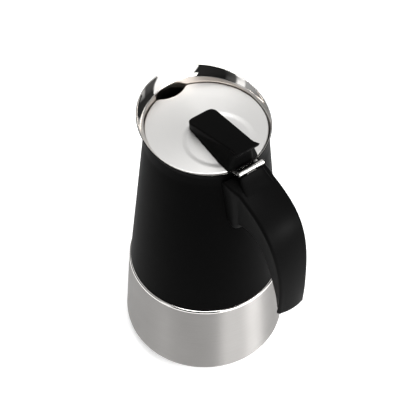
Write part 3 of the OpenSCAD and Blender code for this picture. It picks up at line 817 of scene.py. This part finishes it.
# %% Handle loft
ROOT_STEPS, LOOP_STEPS = 12, 56
ROOT_X = 38
SHIELD_HALF, SHIELD_INNER, SHIELD_ROUND = 13.7, 11.9, 8.5
NARROWER, ROUND_OUT, ROUND_IN, CROWN = 1.2, 2.2, 2.5, 1.0
rows = []
for i in range(ROOT_STEPS):
    t = i / ROOT_STEPS
    outer = Vector((ROOT_X + 8 * t, handle_top))
    inner = Vector((ROOT_X + 7.6 * t, shoe_z + 9.7 * ease((t - 0.25) / 0.75)))
    width = SHIELD_HALF + (strip_half_width(handle_top) - SHIELD_HALF) * ease(t)
    inner_width = SHIELD_INNER + (width - NARROWER - SHIELD_INNER) * ease(t)
    inner_r = SHIELD_ROUND - (SHIELD_ROUND - ROUND_IN) * ease(t)
    loop = section(outer, inner, half_section(width, inner_width, (inner - outer).length,
                                              0.7 + 0.3 * t, 1.6 + 0.6 * t, inner_r))
    hold = 1 - ease(t / 0.5)
    for point in loop:
        skin_x = math.sqrt((cone_radius(point.z) + 0.2) ** 2 - point.y ** 2)
        point.x += (skin_x - ROOT_X) * hold + max(skin_x - point.x, 0) * (1 - hold)
    rows.append(loop)
for i in range(LOOP_STEPS + 1):
    t = i / LOOP_STEPS
    outer, inner = bezier(OUTER_CURVE, t), bezier(INNER_CURVE, t)
    width = strip_half_width(outer.y)
    rows.append(section(outer, inner, half_section(width, width - NARROWER, (inner - outer).length,
                                                   CROWN, ROUND_OUT, ROUND_IN)))
loop_piece = through("loop", rows, [black_nylon], 50)

# %% [markdown]
# A short ramp of the same nylon climbs from the strip to the hinge and hides the strap. It meets
# the strip at a tangent, so that no step shows. The lower end of the loop is closed by a flat
# face, and a bevel on the sharp edges only eases its rim.


# %% Ramp up to the hinge, and softened rims
ramp_from = hinge_x + 1.15
RAMP_STEPS, RAMP_LENGTH, RAMP_RISE = 12, 10.5, 5.7
RAMP_HALF, RAMP_WIDENS, RAMP_DEEP = 7.9, 2.6, 3.5
RAMP_PROFILE = ((0.3, 0), (0.6, 0), (0.88, 0.1), (0.97, 0.5), (1, 1.4))
strip_line = [bezier(OUTER_CURVE, i / 80) for i in range(41)]


def strip_top(x):
    """Height of the outer strip's middle at a distance from the pot's axis."""
    for low, high in zip(strip_line, strip_line[1:]):
        if low.x <= x <= high.x:
            return low.y + (high.y - low.y) * (x - low.x) / (high.x - low.x)
    return handle_top


rows = []
for i in range(RAMP_STEPS + 1):
    t = i / RAMP_STEPS
    x = ramp_from + RAMP_LENGTH * t
    half = RAMP_HALF + RAMP_WIDENS * t
    top_z = strip_top(x) - 0.3 + RAMP_RISE * (1 - t) ** 2
    top = [(x, part * half, top_z - drop - CROWN * (part * half / 12.2) ** 2)
           for part, drop in RAMP_PROFILE]
    foot = [(x, side * half, handle_top - RAMP_DEEP) for side in (1, -1)]
    rows.append([(x, -y, z) for x, y, z in top[::-1]] + top + foot)
ramp_piece = through("wall", rows, [black_nylon], 60)
soften(ramp_piece, 0.3, 1.2, 60)
soften(loop_piece, 1.4, 1.2)
handle = join("handle_skin", [loop_piece, ramp_piece])
stand_for(handle, "upper", "black_plastic", "handle")

# %% [markdown]
# ## The threads
# Boiler and vessel screw together on one round thread. A single formula gives the radius at any
# angle and height, and both halves use it, so they mesh with the same small gap all round.

# %% Threads
THREAD_PITCH, THREAD_TURNS, THREAD_HALF, RUN_OUT = 3.0, 2.0, 0.6, 0.4
THREAD_GAP, COLLAR_WALL, ROWS_PER_TURN = 0.35, 2.4, 24
collar_low, collar_high = box_mm("boiler_collar")
ring_low, ring_high = box_mm("vessel_thread_ring")
thread_from = ring_low.z
thread_to = thread_from + THREAD_PITCH * THREAD_TURNS


def thread_line(angle, middle_r):
    """Up one side of the thread at an angle, as outline points."""
    rows = int(ROWS_PER_TURN * THREAD_TURNS)
    line = []
    for i in range(rows + 1):
        up = (thread_to - thread_from) * i / rows
        r = middle_r + THREAD_HALF * math.cos(angle - TAU * up / THREAD_PITCH)
        line.append((r, thread_from + up, 0))
    return line


angles = even_angles(120)
male_r, collar_in = COLLAR_R + THREAD_HALF, COLLAR_R - COLLAR_WALL
female_r = male_r + THREAD_GAP
male = [[(COLLAR_R, collar_low.z, 0), (COLLAR_R, thread_from - RUN_OUT, 0)] + thread_line(a, male_r)
        + [(COLLAR_R, thread_to + RUN_OUT, 0), (COLLAR_R, collar_high.z - 0.4, 0),
           (COLLAR_R - 0.4, collar_high.z, 0), (collar_in + 0.3, collar_high.z, 0),
           (collar_in, collar_high.z - 0.3, 0), (collar_in, collar_low.z, 0)] for a in angles]
collar = new_piece("collar_skin", *loft(male, angles)[:2], [inner_steel], None, 40)
stand_for(collar, "boiler", "satin_steel", "boiler_collar")

bore_r = female_r + THREAD_HALF
female = [[(ring_high.y, ring_low.z, 0), (ring_high.y, ring_high.z, 0), (bore_r, ring_high.z, 0),
           (bore_r, thread_to + RUN_OUT, 0)] + thread_line(a, female_r)[::-1] for a in angles]
thread_ring = new_piece("thread_ring_skin", *loft(female, angles)[:2], [inner_steel], None, 40)
stand_for(thread_ring, "upper", "satin_steel", "vessel_thread_ring")

# %% [markdown]
# ## Perforated plates
# The funnel's sieve and the filter plate are the same idea: a thin disc with a honeycomb of small
# holes. A Geometry Nodes tree is right for this, since the holes follow a rule: a grid of points,
# every other row shifted by half a step, cut off at a radius, with a hole punched at each. The
# plates are a hair thinner than the solids, so that they don't lie flush on what they touch.


# %% A Geometry Nodes tree that punches a plate
def nodes_tree(name, inputs):
    """An empty tree with named number inputs; returns it with its input node and identifiers."""
    tree = bpy.data.node_groups.new(name, "GeometryNodeTree")
    tree.interface.new_socket("Geometry", in_out="OUTPUT", socket_type="NodeSocketGeometry")
    identifiers = {}
    for label in inputs:
        socket = tree.interface.new_socket(label, in_out="INPUT", socket_type="NodeSocketFloat")
        identifiers[label] = socket.identifier
    return tree, add_node(tree, "NodeGroupInput"), identifiers


def end_tree(tree, geometry, x, z, rotation, material):
    """Moves the result to its place, makes instances real, and sets the material."""
    spot = add_node(tree, "ShaderNodeCombineXYZ", {}, {"X": x, "Z": z})
    moved = add_node(tree, "GeometryNodeTransform", {}, {
        "Geometry": geometry, "Translation": spot.outputs["Vector"], "Rotation": rotation})
    real = add_node(tree, "GeometryNodeRealizeInstances", {}, {"Geometry": moved.outputs["Geometry"]})
    finished = add_node(tree, "GeometryNodeSetMaterial", {}, {
        "Geometry": real.outputs["Geometry"], "Material": material})
    add_node(tree, "NodeGroupOutput", {}, {"Geometry": finished.outputs["Geometry"]})


def grow(name, tree, identifiers, values):
    """Runs a tree with those values and keeps its result as a plain mesh piece."""
    piece = put_in_scene(name, bpy.data.meshes.new(name))
    modifier = piece.modifiers.new("nodes", "NODES")
    modifier.node_group = tree
    for label, value in values.items():
        modifier[identifiers[label]] = value
    keep_result(piece)
    piece.data.set_sharp_from_angle(angle=math.radians(30))
    return piece


def maths(tree, operation, a, b):
    """One number from two, each a value or a socket."""
    node = add_node(tree, "ShaderNodeMath", {"operation": operation})
    for socket, value in zip(node.inputs, (a, b)):
        if isinstance(value, bpy.types.NodeSocket):
            tree.links.new(value, socket)
        else:
            socket.default_value = value
    return node.outputs["Value"]


ROWS = 41
ROW_STEP = math.sqrt(0.75)
tree, given, plate_inputs = nodes_tree("punched_plate", (
    "Radius", "Thickness", "Hole Radius", "Spacing", "Punched Radius", "Height"))
disc = add_node(tree, "GeometryNodeMeshCylinder", {}, {
    "Vertices": 128, "Radius": given.outputs["Radius"], "Depth": given.outputs["Thickness"]})
grid = add_node(tree, "GeometryNodeMeshGrid", {}, {
    "Vertices X": ROWS, "Vertices Y": ROWS,
    "Size X": maths(tree, "MULTIPLY", given.outputs["Spacing"], float(ROWS - 1)),
    "Size Y": maths(tree, "MULTIPLY", given.outputs["Spacing"], (ROWS - 1) * ROW_STEP)})
index = add_node(tree, "GeometryNodeInputIndex")
odd = maths(tree, "MODULO", index.outputs["Index"], 2.0)
shift = maths(tree, "MULTIPLY", maths(tree, "MULTIPLY", odd, 0.5), given.outputs["Spacing"])
offset = add_node(tree, "ShaderNodeCombineXYZ", {}, {"X": shift})
shifted = add_node(tree, "GeometryNodeSetPosition", {}, {
    "Geometry": grid.outputs["Mesh"], "Offset": offset.outputs["Vector"]})
position = add_node(tree, "GeometryNodeInputPosition")
distance = length_of(tree, position.outputs["Position"])
outside = maths(tree, "GREATER_THAN", distance, given.outputs["Punched Radius"])
kept = add_node(tree, "GeometryNodeDeleteGeometry", {"domain": "POINT"}, {
    "Geometry": shifted.outputs["Geometry"], "Selection": outside})
punch = add_node(tree, "GeometryNodeMeshCylinder", {}, {
    "Vertices": 12, "Radius": given.outputs["Hole Radius"],
    "Depth": maths(tree, "MULTIPLY", given.outputs["Thickness"], 3.0)})
punches = add_node(tree, "GeometryNodeInstanceOnPoints", {}, {
    "Points": kept.outputs["Geometry"], "Instance": punch.outputs["Mesh"]})
solid_punches = add_node(tree, "GeometryNodeRealizeInstances", {}, {
    "Geometry": punches.outputs["Instances"]})
cut = add_node(tree, "GeometryNodeMeshBoolean", {"operation": "DIFFERENCE"}, {
    "Mesh 1": disc.outputs["Mesh"]})
tree.links.new(solid_punches.outputs["Geometry"], cut.inputs["Mesh 2"])
end_tree(tree, cut.outputs["Mesh"], 0.0, given.outputs["Height"], (0.0, 0.0, 0.0), inner_steel)

# %% Sieve and filter plate
SEAT_GAP, HOLE_SPACING = 0.04, 2.1
for node, body, hole_mm, rim_mm in (("funnel_sieve", "funnel", 0.45, 3.0),
                                    ("filter_plate", "filter_plate", 0.42, 4.2)):
    low, high = box_mm(node)
    high.z -= SEAT_GAP
    plate = grow(node + "_punched", tree, plate_inputs, {
        "Radius": high.x * MM, "Thickness": (high.z - low.z) * MM, "Hole Radius": hole_mm * MM,
        "Spacing": HOLE_SPACING * MM, "Punched Radius": (high.x - rim_mm) * MM,
        "Height": (low.z + high.z) / 2 * MM})
    stand_for(plate, body, "satin_steel", node)

# %% [markdown]
# ## The valve spring
# The solid that stood in for the spring is a stack of rings. A real one is a helix, which is a
# Geometry Nodes primitive: a spiral curve with a round wire swept along it.

# %% Valve spring
COIL_R, WIRE_R, COIL_TURNS, COIL_END = 2.2, 0.33, 6.0, 0.4
spring_low, spring_high = box_mm("valve_spring")
spring_z = (spring_low.z + spring_high.z) / 2
spring_length = spring_high.x - spring_low.x
tree, given, spring_inputs = nodes_tree("coil_spring", (
    "Coil Radius", "Length", "Wire Radius", "Start X", "Height"))
helix = add_node(tree, "GeometryNodeCurveSpiral", {}, {
    "Resolution": 32, "Rotations": COIL_TURNS, "Start Radius": given.outputs["Coil Radius"],
    "End Radius": given.outputs["Coil Radius"], "Height": given.outputs["Length"]})
wire = add_node(tree, "GeometryNodeCurvePrimitiveCircle", {}, {
    "Resolution": 10, "Radius": given.outputs["Wire Radius"]})
coil = add_node(tree, "GeometryNodeCurveToMesh", {}, {
    "Curve": helix.outputs["Curve"], "Profile Curve": wire.outputs["Curve"], "Fill Caps": True})
end_tree(tree, coil.outputs["Mesh"], given.outputs["Start X"], given.outputs["Height"],
         (0.0, -math.pi / 2, 0.0), hinge_steel)
spring = grow("valve_spring_coil", tree, spring_inputs, {
    "Coil Radius": COIL_R * MM, "Length": (spring_length - 2 * COIL_END) * MM,
    "Wire Radius": WIRE_R * MM, "Start X": (spring_high.x - COIL_END) * MM, "Height": spring_z * MM})
stand_for(spring, "boiler", "bright_steel", "valve_spring")
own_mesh(spring)

# %% [markdown]
# ## The pieces that stay as engineered
# The valve, the funnel, the seal, the vessel's floor, the column, the bracket and the screws
# already have their true shapes. They only take a real finish.

# %% Finishes for the remaining solids
finishes = (
    (turned_brass, ("valve_body", "valve_nut", "valve_cap")),
    (red_fibre, ("valve_washer",)),
    (silicone, ("gasket",)),
    (hinge_steel, ("valve_pin", "column_cap", "handle_screw", "lever_screws")),
    (inner_steel, ("funnel_basket", "funnel_stem", "vessel_floor", "coffee_column",
                   "handle_bracket")),
)
for material, names in finishes:
    for name in names:
        mesh = frame["nodes"][name].data
        mesh.materials.clear()
        mesh.materials.append(material)
print(sum(len(names) for _, names in finishes), "solids kept with new finishes")

# %% [markdown]
# ## Floor, light and camera
# The pot stands on a wide, plain, pale floor with painted light: near the pot the floor glows, which
# washes out the pot's shadow, and further out the glow drops away and the colour greys, a painted pool
# of light round the pot. The camera stands well back with a long lens, so that the pot keeps its
# proportions.

# %% Floor
# Painted light: the floor glows near the pot to fill in its shadow, and the glow fades out with
# distance.
FLOOR_HALF, LIT_POOL_FROM, LIT_POOL_TO, FLOOR_PAINTED_GLOW = 6.0, 0.35, 1.1, 0.45
floor_mesh = bpy.data.meshes.new("floor")
corners = [(x * FLOOR_HALF, y * FLOOR_HALF, 0) for x, y in ((-1, -1), (1, -1), (1, 1), (-1, 1))]
floor_mesh.from_pydata(corners, [], [(0, 1, 2, 3)])
floor = put_in_scene("floor", floor_mesh)
floor_with_painted_light, tree, shader = new_material("pale_floor_painted_light_pool", "#f0f0f0", 0.0, 0.9, Specular_IOR_Level=0.0,
                                        Emission_Color=(1, 1, 1, 1), Emission_Strength=FLOOR_PAINTED_GLOW)
place = add_node(tree, "ShaderNodeTexCoord")
# Painted pool of light: with distance from the pot, the colour greys and the painted glow drops to
# nothing.
painted_light_falloff = add_node(tree, "ShaderNodeMapRange", {}, {
    "Value": length_of(tree, place.outputs["Object"]), "From Min": LIT_POOL_FROM, "From Max": LIT_POOL_TO})
tint(tree, shader, painted_light_falloff.outputs["Result"], "#f0f0f0", "#a8a8a8")
vary(tree, shader, "Emission Strength", painted_light_falloff.outputs["Result"], FLOOR_PAINTED_GLOW, 0.0)
floor_mesh.materials.append(floor_with_painted_light)

# %% Camera
def direction(azimuth, elevation):
    """Unit vector from the pot towards a compass angle and a height angle, in radians."""
    return Vector((math.sin(azimuth) * math.cos(elevation), -math.cos(azimuth) * math.cos(elevation),
                   math.sin(elevation)))


AZIMUTH, ELEVATION, ROLL = 53.0, 50.986, 0.899
DISTANCE_MM, LENS_MM = 750.0, 109.54
AIM_ACROSS_MM, AIM_HEIGHT_MM = 1.56, 105.48
azimuth, elevation, roll = (math.radians(v) for v in (AZIMUTH, ELEVATION, ROLL))
across = Vector((math.cos(azimuth), math.sin(azimuth), 0))
back = direction(azimuth, elevation)
up = back.cross(across)
right = across * math.cos(roll) + up * math.sin(roll)
upright = up * math.cos(roll) - across * math.sin(roll)
aim = across * AIM_ACROSS_MM + Vector((0, 0, AIM_HEIGHT_MM))
place = (aim + back * DISTANCE_MM) * MM
camera_data = bpy.data.cameras.new("camera")
camera_data.lens, camera_data.sensor_width = LENS_MM, 36.0
camera = put_in_scene("camera", camera_data)
turn = Matrix((right, upright, back)).transposed().to_4x4()
camera.matrix_world = Matrix.Translation(place) @ turn
bpy.context.scene.camera = camera
print("camera at", [round(v, 3) for v in place])

# %% [markdown]
# A mirror shows its room, so the polished lip needs a room worth showing. The world is painted
# as upright panels by compass angle: a big white softbox on one side, a narrow one on the other,
# and black flags between them. Higher up, the far side is one pale ceiling for the satin lid.
# Two area lights add a soft light from above and a sheen along the handle.

# %% Room light
world = bpy.data.worlds.new("studio_panels")
bpy.context.scene.world = world
world.use_nodes = True
tree = world.node_tree
background = tree.nodes["Background"]


def panels(tree, compass, stops):
    """Brightness by compass angle, from stops of (degrees from the camera, brightness)."""
    ramp = add_node(tree, "ShaderNodeValToRGB", {}, {"Fac": compass})
    bands = ramp.color_ramp.elements
    while len(bands) < len(stops):
        bands.new(0.5)
    for band, (degrees, brightness) in zip(bands, stops):
        band.position = (degrees + 180) / 360
        band.color = (brightness, brightness, brightness, 1)
    return ramp.outputs["Color"]


LOW_PANELS = ((-180, 0.42), (-139, 0.42), (-137, 0.03), (-94, 0.03), (-86, 0.25), (-66, 0.42),
              (-56, 0.45), (-54, 1.3), (-43, 1.3), (-39, 0.12), (-26, 0.08), (-22, 0.012), (20, 0.03),
              (21.5, 6.5), (38, 5.6), (50, 3.0), (62, 1.5), (89, 1.3), (90, 0.03), (128, 0.03),
              (130, 0.42), (180, 0.42))
HIGH_PANELS = ((-180, 0.84), (-120, 0.84), (-100, 0.4), (-60, 0.5), (-50, 1.0), (-40, 0.1),
               (-22, 0.02), (27.3, 0.03), (28.8, 1.8), (90, 1.5), (92, 0.1), (106, 0.1), (108, 0.7),
               (180, 0.84))
SKYLINE, SKYLINE_SOFT = 0.55, 0.12

view = add_node(tree, "ShaderNodeTexCoord")
turned = add_node(tree, "ShaderNodeVectorRotate", {"rotation_type": "Z_AXIS"}, {
    "Vector": view.outputs["Generated"], "Angle": math.pi / 2 - azimuth})
parts = add_node(tree, "ShaderNodeSeparateXYZ", {}, {"Vector": turned.outputs["Vector"]})
bearing = maths(tree, "ARCTAN2", parts.outputs["Y"], parts.outputs["X"])
compass = maths(tree, "ADD", maths(tree, "DIVIDE", bearing, TAU), 0.5)
height = add_node(tree, "ShaderNodeMapRange", {}, {
    "Value": parts.outputs["Z"], "From Min": SKYLINE - SKYLINE_SOFT, "From Max": SKYLINE + SKYLINE_SOFT})
room = add_node(tree, "ShaderNodeMix", {"data_type": "RGBA"}, {"Factor": height.outputs["Result"]})
tree.links.new(panels(tree, compass, LOW_PANELS), room.inputs[6])
tree.links.new(panels(tree, compass, HIGH_PANELS), room.inputs[7])
tree.links.new(room.outputs[2], background.inputs["Color"])
background.inputs["Strength"].default_value = 1.0


LIT_HEIGHT = 0.1


def softbox(name, azimuth_deg, elevation_deg, distance, size_x, size_y, power):
    """A rectangular area light that faces the pot."""
    spot = direction(math.radians(azimuth_deg), math.radians(elevation_deg)) * distance
    data = bpy.data.lights.new(name, "AREA")
    data.shape, data.size, data.size_y, data.energy = "RECTANGLE", size_x, size_y, power
    light = put_in_scene(name, data)
    light.location = Vector((0, 0, LIT_HEIGHT)) + spot
    light.rotation_mode = "QUATERNION"
    light.rotation_quaternion = spot.to_track_quat("Z", "Y")


softbox("overhead", AZIMUTH, 88, 1.6, 0.8, 0.8, 13)
softbox("side", AZIMUTH + 63.5, 20, 1.3, 0.45, 0.3, 11)
bpy.context.scene.view_settings.view_transform = "Standard"
